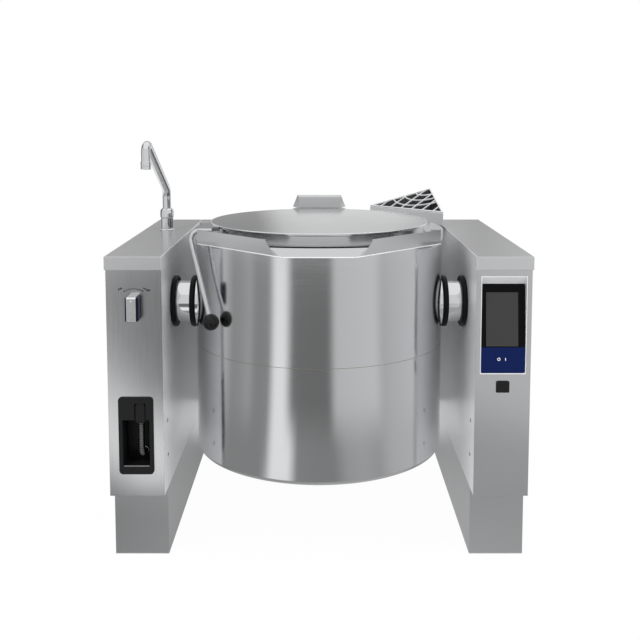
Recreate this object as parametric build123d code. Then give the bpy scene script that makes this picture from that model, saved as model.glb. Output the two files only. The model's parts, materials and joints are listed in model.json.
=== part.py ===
"""Tilting steam jacketed kettle hung between two service consoles.

Frame: +Z up, X across the machine, the operator stands on the -Y side and the pouring lip
points to -Y.  The origin is on the floor, in the middle of the machine's footprint box.
"""
from build123d import *
import os
from math import cos, radians, sin, sqrt

# ---- Driving dimensions, mm --------------------------------------------------------------------

# Machine and consoles
WIDTH = 1200.0            # over both worktops
DEPTH = 900.0             # console front to console back
WORKTOP_Z = 890.0         # working height
WORKTOP_H = 38.0          # worktop edge height
GAP_HALF = 440.0          # centre plane to a console's inner side
SIDE_SETBACK = 4.0        # console side behind the worktop's outer edge
PLINTH_H = 200.0
PLINTH_SETBACK = 56.0     # plinth behind the console's front and back
SHEET = 2.0               # console sheet
BASE_T = 4.0              # console base plate
LIP_REACH = 222.0         # pouring lip ahead of the console fronts

# Trunnions: the horizontal axis that the kettle tilts on
AXIS_BACK = 212.0         # behind the console fronts
AXIS_Z = 722.0
TRUNNION_R = 61.0
SEAL_R = 77.5
SEAL_T = 16.0
SEAL_ROUND = 5.5
SHAFT_R = 35.0
RUNNING = 0.05            # radial clearance of a shaft in its bore
CLEAR = 0.3               # clearance between bodies that only pass each other

# Kettle
CASING_R = 367.0
CASING_T = 1.5
CASING_Z0 = 292.0
SEAM_Z = 614.0            # joint between the two casing bands
VESSEL_R = 309.0          # inside radius
VESSEL_T = 4.0
VESSEL_KNUCKLE = 60.0     # corner radius of the dished bottom
VESSEL_CROWN = 560.0      # crown radius of the dished bottom
VESSEL_TANGENT_Z = 484.0  # where the wall runs into the dished bottom
JACKET_GAP = 22.0
JACKET_T = 3.0
JACKET_TOP_Z = 800.0

# Rim, pouring beak and lid
RIM_Z = 946.0             # top of the rim plate
SKIRT_Z = 921.0           # bottom of the rim's skirt
WING_Z = 962.0            # top of the upstands beside the beak
WING_OFFSET = 372.0       # 45 degree wing plane, from the kettle's axis
WING_X = 342.0            # outer end of each wing
WING_END_LOW_X = 112.0    # front end of a wing, at its bottom and at its top
WING_END_TOP_X = 141.0
RIM_SHEET = 3.0
BEAK_HALF = 127.0         # half width of the beak's arc
BEAK_ARC_Y = 413.0        # arc's middle, ahead of the kettle's axis
BEAK_ARC_END_Y = 390.0
NECK_TOP_Z = 960.0
LID_R = 324.0
LID_EDGE_Z = 962.0
LID_RIM_Z = 969.0
LID_APEX_Z = 982.0
HINGE_BACK = 398.0        # hinge pin behind the kettle's axis
HINGE_Z = 966.0
PIN_R = 8.0

# Tap
TAP_X, TAP_BACK = -520.0, 585.0
TAP_REACH = 320.0
TAP_TOP_Z = 1218.0        # where the arm and the outlet would meet without their bend
TAP_PIPE_R = 14.0
TAP_TURN = -1.4           # degrees that the spout is left turned outwards

# Controls, on the console centre lines
KNOB_Z = 747.0
TOUCH_W, TOUCH_Z0, TOUCH_Z1 = 130.0, 555.0, 835.0
STRIP_TOP_Z = 632.0
TOUCH_DEPTH = 20.0        # how far the screen's top edge leans in
USB_W, USB_H, USB_Z = 37.0, 32.0, 519.0
SPRAY_W, SPRAY_Z0, SPRAY_Z1 = 99.0, 265.0, 490.0
SPRAY_HOLE_W, SPRAY_HOLE_Z0, SPRAY_HOLE_Z1 = 76.0, 287.0, 423.0
SPRAY_DEPTH = 72.0

# ---- Derived places ----------------------------------------------------------------------------

FRONT = -(DEPTH - LIP_REACH) / 2
BACK = FRONT + DEPTH
AXIS_Y = FRONT + AXIS_BACK
OUTER = WIDTH / 2 - SIDE_SETBACK
CONSOLE_X = (GAP_HALF + OUTER) / 2
CONSOLE_TOP = WORKTOP_Z - WORKTOP_H
HINGE_Y = AXIS_Y + HINGE_BACK
TAP_Y = FRONT + TAP_BACK
VESSEL_OUT = VESSEL_R + VESSEL_T
JACKET_IN = VESSEL_OUT + JACKET_GAP
JACKET_OUT = JACKET_IN + JACKET_T
PIPE_R = 8.0

pieces = {}


def add(name, *solids):
    """Keep one node: a solid, or a group of like solids."""
    pieces[name] = solids[0] if len(solids) == 1 else Compound(children=list(solids))


def block(x0, x1, y0, y1, z0, z1):
    return Pos((x0 + x1) / 2, (y0 + y1) / 2, (z0 + z1) / 2) * Box(x1 - x0, y1 - y0, z1 - z0)


def tray(x0, x1, y0, y1, z0, z1, wall):
    """A folded sheet cover, open underneath."""
    return block(x0, x1, y0, y1, z0, z1) - block(x0 + wall, x1 - wall, y0 + wall, y1 - wall,
                                                 z0 - 1, z1 - wall)


def rod_x(radius, x0, x1, y, z):
    return Pos((x0 + x1) / 2, y, z) * Rot(0, 90, 0) * Cylinder(radius, x1 - x0)


def rod_y(radius, y0, y1, x, z):
    return Pos(x, (y0 + y1) / 2, z) * Rot(90, 0, 0) * Cylinder(radius, y1 - y0)


def rod_z(radius, z0, z1, x, y):
    return Pos(x, y, (z0 + z1) / 2) * Cylinder(radius, z1 - z0)


def kettle_disc(radius, z0, z1):
    """An upright disc on the kettle's axis."""
    return rod_z(radius, z0, z1, 0, AXIS_Y)


def kettle_ring(outer, inner, z0, z1):
    return kettle_disc(outer, z0, z1) - kettle_disc(inner, z0 - 1, z1 + 1)


def revolved(outline):
    """Turn a closed outline of (radius, z) edges about the kettle's axis."""
    return Pos(0, AXIS_Y, 0) * revolve(Plane.XZ * make_face(outline), Axis.Z)


def slab(plan, z0, z1):
    """Raise a plan area from z0 to z1."""
    return Pos(0, 0, z0) * extrude(plan, z1 - z0)


def closed(points):
    return Polyline(*points, close=True)


def mirrored(shape):
    return mirror(shape, Plane.YZ)


def pipe(route, radius, corners):
    """A round tube bent along a route, with the given corner radii."""
    path = FilletPolyline(*route, radius=corners)
    return sweep(Plane(path @ 0, z_dir=path % 0) * Circle(radius), path)


# ---- Consoles ----------------------------------------------------------------------------------

def worktop():
    """Folded stainless top: a tray with softened edges, laid over the console."""
    top = tray(GAP_HALF, WIDTH / 2, FRONT, BACK, CONSOLE_TOP, WORKTOP_Z, 3)
    rim = top.edges().filter_by_position(Axis.Z, WORKTOP_Z, WORKTOP_Z)
    return chamfer(rim, 1.2)


def console_panels():
    """Right-hand console sheets: front, inner side, outer side, back and base."""
    low = PLINTH_H
    front = block(GAP_HALF, OUTER, FRONT, FRONT + SHEET, low, CONSOLE_TOP)
    y0, y1 = FRONT + SHEET, BACK - SHEET
    inner = block(GAP_HALF, GAP_HALF + SHEET, y0, y1, low, CONSOLE_TOP)
    inner -= rod_x(TRUNNION_R + 3, GAP_HALF - 1, GAP_HALF + SHEET + 1, AXIS_Y, AXIS_Z)
    outer = block(OUTER - SHEET, OUTER, y0, y1, low, CONSOLE_TOP)
    back = block(GAP_HALF, OUTER, y1, BACK, low, CONSOLE_TOP)
    base = block(GAP_HALF + SHEET, OUTER - SHEET, y0, y1, low, low + BASE_T)
    return front, inner, outer, back, base


def plinth():
    """Kick plate round the feet, with a folded foot flange on the floor."""
    x0, x1 = GAP_HALF, OUTER
    y0, y1 = FRONT + PLINTH_SETBACK, BACK - PLINTH_SETBACK
    flange = 22
    skin = block(x0, x1, y0, y1, 0, PLINTH_H)
    skin -= block(x0 + SHEET, x1 - SHEET, y0 + SHEET, y1 - SHEET, SHEET, PLINTH_H + 1)
    return skin - block(x0 + flange, x1 - flange, y0 + flange, y1 - flange, -1, SHEET + 1)


def levelling_foot(x, y):
    pad = Pos(x, y, 0) * Cone(24, 20, 10, align=(Align.CENTER, Align.CENTER, Align.MIN))
    nut = Pos(x, y, 150) * extrude(RegularPolygon(14, 6), 8)
    return pad + rod_z(8, 10, PLINTH_H, x, y) + nut


left_top = mirrored(worktop()) - rod_z(PIPE_R + 3, CONSOLE_TOP, WORKTOP_Z + 1, TAP_X, TAP_Y)
add("worktops", worktop(), left_top)

front, inner, outer, back, base = console_panels()
touch_hole = block(CONSOLE_X - TOUCH_W / 2, CONSOLE_X + TOUCH_W / 2, FRONT - 1, FRONT + SHEET + 1,
                   TOUCH_Z0, TOUCH_Z1)
usb_hole = block(CONSOLE_X - USB_W / 2, CONSOLE_X + USB_W / 2, FRONT - 1, FRONT + SHEET + 1,
                 USB_Z - USB_H / 2, USB_Z + USB_H / 2)
add("right_front_panel", front - touch_hole - usb_hole)
spray_hole = block(-CONSOLE_X - SPRAY_HOLE_W / 2 - 3, -CONSOLE_X + SPRAY_HOLE_W / 2 + 3,
                   FRONT - 1, FRONT + SHEET + 1, SPRAY_HOLE_Z0 - 3, SPRAY_Z1 - 8)
spindle_hole = rod_y(6, FRONT - 1, FRONT + SHEET + 1, -CONSOLE_X, KNOB_Z)
add("left_front_panel", mirrored(front) - spray_hole - spindle_hole)
add("inner_side_panels", inner, mirrored(inner))
add("outer_side_panels", outer, mirrored(outer))
add("console_back_panels", back, mirrored(back))
add("plinths", plinth(), mirrored(plinth()))

foot_x = (GAP_HALF + 48, OUTER - 48)
foot_y = (FRONT + PLINTH_SETBACK + 60, BACK - PLINTH_SETBACK - 60)
feet = [levelling_foot(side * x, y) for side in (-1, 1) for x in foot_x for y in foot_y]
add("levelling_feet", *feet)

# Services come up behind the plinth, through the rear strip of each base plate.
SERVICE_Y = BACK - PLINTH_SETBACK / 2
INLET_R = 10.5
GLAND_R, GLAND_BORE = 16.0, 9.0
inlet_x, gland_x = -CONSOLE_X, CONSOLE_X
add("console_base_plates", base - rod_z(GLAND_R, PLINTH_H - 1, PLINTH_H + 5, gland_x, SERVICE_Y),
    mirrored(base) - rod_z(INLET_R, PLINTH_H - 1, PLINTH_H + 5, inlet_x, SERVICE_Y))
inlet = rod_z(INLET_R, PLINTH_H - 24, PLINTH_H + 30, inlet_x, SERVICE_Y)
inlet += Pos(inlet_x, SERVICE_Y, PLINTH_H - 6) * extrude(RegularPolygon(17, 6), 6)
add("water_inlet", inlet - rod_z(7, PLINTH_H - 25, PLINTH_H + 31, inlet_x, SERVICE_Y))
gland = rod_z(GLAND_R, PLINTH_H - 26, PLINTH_H + 16, gland_x, SERVICE_Y)
gland += Pos(gland_x, SERVICE_Y, PLINTH_H - 10) * extrude(RegularPolygon(22, 6), 10)
add("cable_gland", gland - rod_z(GLAND_BORE, PLINTH_H - 27, PLINTH_H + 17, gland_x, SERVICE_Y))

# Rear cross beam, flush with the worktops, and the sheet that closes the back below it.
BEAM_D, BEAM_H = 74.0, 52.0
beam = tray(-GAP_HALF, GAP_HALF, BACK - BEAM_D, BACK, WORKTOP_Z - BEAM_H, WORKTOP_Z, 3)
add("rear_cross_beam", chamfer(beam.edges().filter_by_position(Axis.Z, WORKTOP_Z, WORKTOP_Z)
                               .filter_by(Axis.X), 1.2))
panel_z0, panel_z1 = PLINTH_H, WORKTOP_Z - BEAM_H
rear = block(-GAP_HALF, GAP_HALF, BACK - SHEET, BACK, panel_z0, panel_z1)
rear += block(-GAP_HALF, GAP_HALF, BACK - 30, BACK, panel_z0, panel_z0 + SHEET)
add("rear_panel", rear)

# Fixing screws of the side sheets, behind each console's front edge.
SCREW_BACK, SCREW_LEVELS = 64.0, (298.0, 400.0)
screws = []
for side in (-1, 1):
    for level in SCREW_LEVELS:
        head = Cone(6, 4.5, 2.2, align=(Align.CENTER, Align.CENTER, Align.MIN))
        place = Pos(side * GAP_HALF, FRONT + SCREW_BACK, level) * Rot(0, -side * 90, 0)
        screws.append(place * head)
add("panel_screws", *screws)

# ---- Trunnions, bearings and the tilt drive -----------------------------------------------------

def soft_ring(x0, x1, bore):
    """Rubber ring about the tilt axis, with its outer edges rounded."""
    ring = rod_x(SEAL_R, x0, x1, AXIS_Y, AXIS_Z)
    ring = fillet(ring.edges().filter_by(GeomType.CIRCLE), SEAL_ROUND)
    return ring - rod_x(bore, x0 - 1, x1 + 1, AXIS_Y, AXIS_Z)


BOSS_R = 72.0
TUBE_END = GAP_HALF - 3
casing_side = CASING_R + 1.5                 # outer face of the trunnion boss
add("console_seals", soft_ring(GAP_HALF - SEAL_T, GAP_HALF, TRUNNION_R + CLEAR),
    mirrored(soft_ring(GAP_HALF - SEAL_T, GAP_HALF, TRUNNION_R + CLEAR)))
add("kettle_seals", soft_ring(casing_side, casing_side + SEAL_T, TRUNNION_R),
    mirrored(soft_ring(casing_side, casing_side + SEAL_T, TRUNNION_R)))


def trunnion(shaft_r, shaft_end):
    """Hollow trunnion welded to the jacket, closed by the plate that carries the shaft."""
    tube = rod_x(TRUNNION_R, JACKET_OUT - 20, TUBE_END, AXIS_Y, AXIS_Z)
    tube -= rod_x(TRUNNION_R - 7, JACKET_OUT - 21, TUBE_END - 12, AXIS_Y, AXIS_Z)
    tube -= kettle_disc(JACKET_OUT, AXIS_Z - 100, AXIS_Z + 100)
    boss = rod_x(BOSS_R, CASING_R - 15, casing_side, AXIS_Y, AXIS_Z)
    boss -= rod_x(TRUNNION_R, CASING_R - 16, casing_side + 1, AXIS_Y, AXIS_Z)
    boss -= kettle_disc(CASING_R, AXIS_Z - 100, AXIS_Z + 100)
    shaft = rod_x(shaft_r, TUBE_END, shaft_end, AXIS_Y, AXIS_Z)
    return tube + boss + chamfer(shaft.edges().group_by(Axis.X)[-1], 2)


LEFT_SHAFT_END, DRIVE_SHAFT_END = 505.0, 586.0
add("trunnions", trunnion(SHAFT_R, DRIVE_SHAFT_END), mirrored(trunnion(SHAFT_R, LEFT_SHAFT_END)))

BEARING_X0, BEARING_X1 = 456.0, 496.0
BEARING_HEAD_R = 62.0
BEARING_FOOT_HALF, BEARING_FOOT_T = 88.0, 20.0
PEDESTAL_TOP = AXIS_Z - 74


def bearing():
    """Foot-mounted bearing block with a round head."""
    head = rod_x(BEARING_HEAD_R, BEARING_X0, BEARING_X1, AXIS_Y, AXIS_Z)
    foot_top = PEDESTAL_TOP + BEARING_FOOT_T
    foot = block(BEARING_X0, BEARING_X1, AXIS_Y - BEARING_FOOT_HALF, AXIS_Y + BEARING_FOOT_HALF,
                 PEDESTAL_TOP, foot_top)
    web_half = BEARING_HEAD_R - 4
    web = block(BEARING_X0 + 4, BEARING_X1 - 4, AXIS_Y - web_half, AXIS_Y + web_half,
                foot_top, AXIS_Z)
    body = head + foot + web
    return body - rod_x(SHAFT_R + RUNNING, BEARING_X0 - 1, BEARING_X1 + 1, AXIS_Y, AXIS_Z)


def pedestal():
    """Box column that carries a bearing block on the base plate."""
    x0, x1, y0, y1 = BEARING_X0 - 4, BEARING_X1 + 4, AXIS_Y - 55, AXIS_Y + 55
    z0, z1, wall = PLINTH_H + BASE_T, PEDESTAL_TOP - 8, 4
    column = block(x0, x1, y0, y1, z0, z1)
    column -= block(x0 + wall, x1 - wall, y0 + wall, y1 - wall, z0 - 1, z1 - wall)
    plate_half = BEARING_FOOT_HALF + 4
    return column + block(x0, x1, AXIS_Y - plate_half, AXIS_Y + plate_half, z1, PEDESTAL_TOP)


add("trunnion_bearings", bearing(), mirrored(bearing()))
add("bearing_pedestals", pedestal(), mirrored(pedestal()))

GEAR_X0, GEAR_X1 = 504.0, 582.0
GEAR_HALF = 82.0
GEAR_BELOW, GEAR_ABOVE = 100.0, 92.0
gearbox = block(GEAR_X0, GEAR_X1, AXIS_Y - GEAR_HALF, AXIS_Y + GEAR_HALF,
                AXIS_Z - GEAR_BELOW, AXIS_Z + GEAR_ABOVE)
gearbox = fillet(gearbox.edges().filter_by(Axis.X), 24)
gearbox += rod_x(GEAR_HALF - 30, GEAR_X0 - 3, GEAR_X1 + 3, AXIS_Y, AXIS_Z)
gearbox -= rod_x(SHAFT_R + RUNNING, GEAR_X0 - 4, GEAR_X1 + 4, AXIS_Y, AXIS_Z)
add("tilt_gearbox", gearbox)
MOTOR_X, MOTOR_R = 547.0, 39.0
motor_top = AXIS_Z - GEAR_BELOW
MOTOR_FLANGE_T, MOTOR_BODY_H, FAN_COVER_H = 10.0, 200.0, 30.0
body_top = motor_top - MOTOR_FLANGE_T
body_low = body_top - MOTOR_BODY_H
motor = rod_z(MOTOR_R, body_low, body_top, MOTOR_X, AXIS_Y)
motor += rod_z(MOTOR_R + 4, body_top, motor_top, MOTOR_X, AXIS_Y)
motor += rod_z(MOTOR_R - 3, body_low - FAN_COVER_H, body_low, MOTOR_X, AXIS_Y)
add("tilt_motor", motor)

# ---- Controls ----------------------------------------------------------------------------------

HOUSING_D, HOUSING_EDGE = 30.0, 2.5         # depth, and edge left round the screen
SCREEN_TOP_Z = TOUCH_Z1 - 25
STRIP_BACK, GLASS_T = 1.5, 4.0
strip_y, screen_top_y = FRONT + STRIP_BACK, FRONT + TOUCH_DEPTH
strip_z0 = TOUCH_Z0 + 3
half = TOUCH_W / 2
glass_x0, glass_w = CONSOLE_X - half + HOUSING_EDGE, TOUCH_W - 2 * HOUSING_EDGE


def across_screen(profile):
    """A side profile (y, z) carried across the width inside the housing's edges."""
    return Pos(glass_x0, 0, 0) * extrude(Plane.YZ * make_face(closed(profile)), glass_w)


housing = block(CONSOLE_X - half, CONSOLE_X + half, FRONT, FRONT + HOUSING_D, TOUCH_Z0, TOUCH_Z1)
housing -= across_screen([(FRONT, TOUCH_Z1 - 2), (screen_top_y, SCREEN_TOP_Z),
                          (strip_y, STRIP_TOP_Z), (strip_y, strip_z0), (FRONT, strip_z0)])
glass = across_screen([(screen_top_y, SCREEN_TOP_Z), (strip_y, STRIP_TOP_Z),
                       (strip_y + GLASS_T, STRIP_TOP_Z), (screen_top_y + GLASS_T, SCREEN_TOP_Z)])
strip = block(glass_x0, glass_x0 + glass_w, strip_y, strip_y + 2.5, strip_z0, STRIP_TOP_Z)
add("touch_housing", housing - glass - strip)
add("touch_screen", glass)
add("key_strip", strip)
add("control_box", block(460, 578, FRONT + 36, FRONT + 108, TOUCH_Z0 + 10, TOUCH_Z1))

socket = block(CONSOLE_X - USB_W / 2, CONSOLE_X + USB_W / 2, FRONT, FRONT + 26,
               USB_Z - USB_H / 2, USB_Z + USB_H / 2)
socket -= block(CONSOLE_X - 7, CONSOLE_X + 7, FRONT - 1, FRONT + 18, USB_Z - 3.5, USB_Z + 3.5)
add("usb_socket", socket)
USB_FLAP_T = 3.0
flap = block(CONSOLE_X - USB_W / 2, CONSOLE_X + USB_W / 2, FRONT - CLEAR - USB_FLAP_T,
             FRONT - CLEAR, USB_Z - USB_H / 2, USB_Z + USB_H / 2)
flap = fillet(flap.edges().filter_by(Axis.Y), 3)
flap += rod_x(USB_FLAP_T / 2, CONSOLE_X - 14, CONSOLE_X + 14, FRONT - CLEAR - USB_FLAP_T / 2,
              USB_Z + USB_H / 2)
add("usb_cover", flap)

# Water selector: a bar knob on the spindle of the valve behind the panel.
KNOB_W, KNOB_H, KNOB_D = 38.0, 71.0, 36.0
BAR_HALF, BAR_T = 13.0, 3.0
knob_y = FRONT - 1
body_h = KNOB_H / 2 - BAR_T
knob = block(-CONSOLE_X - KNOB_W / 2, -CONSOLE_X + KNOB_W / 2, knob_y - KNOB_D, knob_y,
             KNOB_Z - body_h, KNOB_Z + body_h)
knob = fillet(knob.edges().filter_by(Axis.Z), 7)
knob += rod_y(5, knob_y, FRONT + 30, -CONSOLE_X, KNOB_Z)
add("selector_knob", knob)
bar = block(-CONSOLE_X - BAR_HALF, -CONSOLE_X + BAR_HALF, knob_y - KNOB_D - BAR_T, knob_y,
            KNOB_Z - KNOB_H / 2, KNOB_Z + KNOB_H / 2)
bar = chamfer(bar.edges().group_by(Axis.Y)[0].filter_by(Axis.X), 4)
bar -= block(-CONSOLE_X - KNOB_W, -CONSOLE_X + KNOB_W, knob_y - KNOB_D, knob_y + 1,
             KNOB_Z - body_h, KNOB_Z + body_h)
add("knob_bar", bar)
valve = rod_y(24, FRONT + SHEET, FRONT + 70, -CONSOLE_X, KNOB_Z)
valve -= rod_y(5 + RUNNING, FRONT + 1, FRONT + 31, -CONSOLE_X, KNOB_Z)
add("selector_valve", valve)
valve_end = FRONT + 70
run_x = -CONSOLE_X - 40
route = [(-CONSOLE_X, valve_end, KNOB_Z), (-CONSOLE_X, valve_end + 45, KNOB_Z),
         (run_x, valve_end + 110, KNOB_Z), (run_x, TAP_Y - 90, KNOB_Z),
         (TAP_X, TAP_Y, KNOB_Z + 40), (TAP_X, TAP_Y, WORKTOP_Z)]
add("tap_supply_pipe", pipe(route, PIPE_R, 28))

# Hand shower niche: a moulded liner with a wide face frame, the shower hung at its top.
face_frame = block(-CONSOLE_X - SPRAY_W / 2, -CONSOLE_X + SPRAY_W / 2, FRONT - 4, FRONT,
                   SPRAY_Z0, SPRAY_Z1)
face_frame = fillet(face_frame.edges().filter_by(Axis.Y), 11)
liner = block(-CONSOLE_X - SPRAY_HOLE_W / 2 - 3, -CONSOLE_X + SPRAY_HOLE_W / 2 + 3, FRONT,
              FRONT + SPRAY_DEPTH + 3, SPRAY_HOLE_Z0 - 3, SPRAY_Z1 - 8)
niche = block(-CONSOLE_X - SPRAY_HOLE_W / 2, -CONSOLE_X + SPRAY_HOLE_W / 2, FRONT - 5,
              FRONT + SPRAY_DEPTH, SPRAY_HOLE_Z0, SPRAY_HOLE_Z1)
GUN_X, GUN_W, GUN_Z0, GUN_Z1 = -506.0, 27.0, 414.0, 469.0
gun_slot = block(GUN_X - GUN_W / 2 - 2, GUN_X + GUN_W / 2 + 2, FRONT - 5, FRONT + 46,
                 SPRAY_HOLE_Z1 - 1, GUN_Z1 + 2)
add("spray_niche", face_frame + liner - niche - gun_slot)
gun = block(GUN_X - GUN_W / 2, GUN_X + GUN_W / 2, FRONT - 2, FRONT + 40, GUN_Z0, GUN_Z1 + 2)
gun = fillet(gun.edges().filter_by(Axis.Y), 9)
add("hand_shower", gun)
GROMMET_Z, GROMMET_R, HOSE_R = 311.0, 13.7, 9.5
hose_y = FRONT + 16
grommet_y = FRONT + SPRAY_DEPTH
hose_route = [(GUN_X, hose_y, GUN_Z0), (GUN_X, hose_y, GROMMET_Z + 20),
              (GUN_X, grommet_y - 22, GROMMET_Z), (GUN_X, grommet_y, GROMMET_Z)]
add("shower_hose", pipe(hose_route, HOSE_R, [24, 12]))
add("hose_grommet", rod_y(GROMMET_R, grommet_y - 10, grommet_y, GUN_X, GROMMET_Z)
    - rod_y(HOSE_R + 0.5, grommet_y - 11, grommet_y + 1, GUN_X, GROMMET_Z))

# ---- Tap ---------------------------------------------------------------------------------------

TAP_BASE_TOP, TAP_NUT_TOP = 934.0, 966.0
TAP_ARM_Z = 1030.0
AERATOR_Z0, AERATOR_Z1 = 1117.0, 1142.0
tap_base = rod_z(25, WORKTOP_Z, WORKTOP_Z + 5, TAP_X, TAP_Y)
tap_base += rod_z(21, WORKTOP_Z + 5, TAP_BASE_TOP, TAP_X, TAP_Y)
tap_base += rod_z(10, TAP_BASE_TOP, TAP_BASE_TOP + 14, TAP_X, TAP_Y)
add("tap_base", tap_base)


def on_tap(shape):
    """Turn a piece of the spout outwards about the tap's upright axis."""
    return Pos(TAP_X, TAP_Y, 0) * Rot(0, 0, TAP_TURN) * shape


nut = rod_z(23, TAP_BASE_TOP + CLEAR, TAP_NUT_TOP, 0, 0)
nut -= rod_z(10 + RUNNING, TAP_BASE_TOP, TAP_BASE_TOP + 14 + CLEAR, 0, 0)
add("spout_nut", on_tap(chamfer(nut.edges().group_by(Axis.Z)[-1], 3)))
arm_route = [(0, 0, TAP_NUT_TOP), (0, 0, TAP_ARM_Z), (0, -TAP_REACH, TAP_TOP_Z - TAP_PIPE_R),
             (0, -TAP_REACH, AERATOR_Z1)]
add("spout_pipe", on_tap(pipe(arm_route, TAP_PIPE_R, [40, 22])))
aerator = rod_z(16, AERATOR_Z0, AERATOR_Z1, 0, -TAP_REACH)
aerator = chamfer(aerator.edges().group_by(Axis.Z)[0], 2)
add("spout_aerator", on_tap(aerator - rod_z(11, AERATOR_Z0 - 1, AERATOR_Z0 + 8, 0, -TAP_REACH)))

# ---- Corner vent -------------------------------------------------------------------------------

VENT_Z0, VENT_Z1, VENT_APEX_Z = 904.0, 950.0, 1014.0
VENT_LEFT = (188.0, FRONT + 841)
VENT_FRONT = (426.0, FRONT + 600)
VENT_CORNER = (410.0, FRONT + 841)
VENT_WALL, GRILLE_T, BAR_W = 3.0, 4.0, 5.0

vent_low = Vector(*VENT_LEFT, VENT_Z1)
vent_side = Vector(*VENT_FRONT, VENT_Z1)
vent_apex = Vector(*VENT_CORNER, VENT_APEX_Z)
slope_normal = (vent_side - vent_low).cross(vent_apex - vent_low).normalized()
slope = Plane(origin=vent_low, x_dir=vent_side - vent_low, z_dir=slope_normal)
vent_plan = make_face(Polyline(VENT_LEFT, VENT_FRONT, VENT_CORNER, close=True))
vent = slab(vent_plan, VENT_Z0, VENT_APEX_Z + 5)
vent_inside = Pos(0, 0, VENT_Z0 + VENT_WALL) * extrude(
    offset(vent_plan, -VENT_WALL, kind=Kind.INTERSECTION), VENT_APEX_Z)
vent_open = split(vent - vent_inside, bisect_by=slope.offset(-GRILLE_T), keep=Keep.BOTTOM)
vent_foot = block(VENT_LEFT[0] + 30, VENT_CORNER[0] - 6, VENT_LEFT[1] - 12, VENT_LEFT[1] - 1,
                  WORKTOP_Z, VENT_Z0)
add("corner_vent_box", vent_open + vent_foot)

corners = [slope.to_local_coords(p) for p in (vent_low, vent_side, vent_apex)]
grille_plan = make_face(closed([(c.X, c.Y) for c in corners]))
frame_ring = grille_plan - offset(grille_plan, -BAR_W, kind=Kind.INTERSECTION)
apex_u, apex_v = corners[2].X, corners[2].Y
edge_length = corners[1].X
bars = Sketch()
BAR_COUNT = 6
for i in range(1, BAR_COUNT + 1):
    bars += Pos(edge_length * i / (BAR_COUNT + 1), apex_v / 2) * Rectangle(BAR_W * 0.7, apex_v)
for radius in (58, 100, 142):
    bars += Pos(apex_u, apex_v) * (Circle(radius + BAR_W * 0.35) - Circle(radius - BAR_W * 0.35))
grille = frame_ring + (bars & grille_plan)
add("corner_vent_grille", extrude(slope.offset(-GRILLE_T) * grille, GRILLE_T))

# ---- Kettle ------------------------------------------------------------------------------------

def bowl(radius, knuckle, crown, z_tangent, z_top):
    """Solid of revolution with a dished bottom: wall, knuckle arc, crown arc."""
    kx = radius - knuckle
    rise = sqrt((crown - knuckle) ** 2 - kx ** 2)
    crown_z = z_tangent + rise
    reach = crown / (crown - knuckle)
    touch = (kx * reach, crown_z - rise * reach)
    lean = radians(45)
    mid_knuckle = (kx + knuckle * cos(lean), z_tangent - knuckle * sin(lean))
    half_angle = kx / (crown - knuckle) / 2
    mid_crown = (crown * sin(half_angle), crown_z - crown * cos(half_angle))
    outline = [Line((0, z_top), (radius, z_top)), Line((radius, z_top), (radius, z_tangent)),
               ThreePointArc((radius, z_tangent), mid_knuckle, touch),
               ThreePointArc(touch, mid_crown, (0, crown_z - crown)),
               Line((0, crown_z - crown), (0, z_top))]
    return revolved(outline)


def vessel_bowl(grow, z_top):
    return bowl(VESSEL_R + grow, VESSEL_KNUCKLE + grow, VESSEL_CROWN + grow, VESSEL_TANGENT_Z,
                z_top)


add("inner_vessel", vessel_bowl(VESSEL_T, NECK_TOP_Z) - vessel_bowl(0, NECK_TOP_Z + 1))


def jacket_can(grow, z_top):
    """Solid jacket form: upright wall, two cones and a flat bottom with room for the heaters."""
    r = JACKET_OUT - JACKET_T + grow
    z0 = JACKET_BOTTOM_Z - grow
    return revolved([Polyline((0, z_top), (r, z_top), (r, z0 + 138), (r - 38, z0 + 68),
                              (r - 175, z0), (0, z0), (0, z_top))])


JACKET_BOTTOM_Z = 331.0
jacket = jacket_can(JACKET_T, JACKET_TOP_Z) - jacket_can(0, JACKET_TOP_Z - JACKET_T)
add("steam_jacket", jacket - kettle_disc(VESSEL_OUT, JACKET_TOP_Z - 2 * JACKET_T, JACKET_TOP_Z + 1))

# Ring heaters lie in the water below the vessel, with their tails through the jacket's bottom.
HEATER_R = 4.2
crown_z = VESSEL_TANGENT_Z + sqrt((VESSEL_CROWN - VESSEL_KNUCKLE) ** 2
                                  - (VESSEL_R - VESSEL_KNUCKLE) ** 2)
mid_crown_r = VESSEL_CROWN + VESSEL_T + JACKET_GAP / 2
heaters = []
for ring_r in (70, 125, 180):
    ring_z = crown_z - sqrt(mid_crown_r ** 2 - ring_r ** 2)
    section = Plane.XZ * Pos(ring_r, ring_z) * RegularPolygon(HEATER_R, 6)
    heaters.append(Pos(0, AXIS_Y, 0) * revolve(section, Axis.Z))
add("ring_heaters", *heaters)

insulation = kettle_ring(CASING_R - CASING_T, JACKET_OUT, CASING_Z0 + 60, SKIRT_Z - 4)
for side in (-1, 1):
    insulation -= rod_x(TRUNNION_R, side * JACKET_OUT - 60, side * JACKET_OUT + 60, AXIS_Y, AXIS_Z)
add("insulation", insulation)

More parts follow.
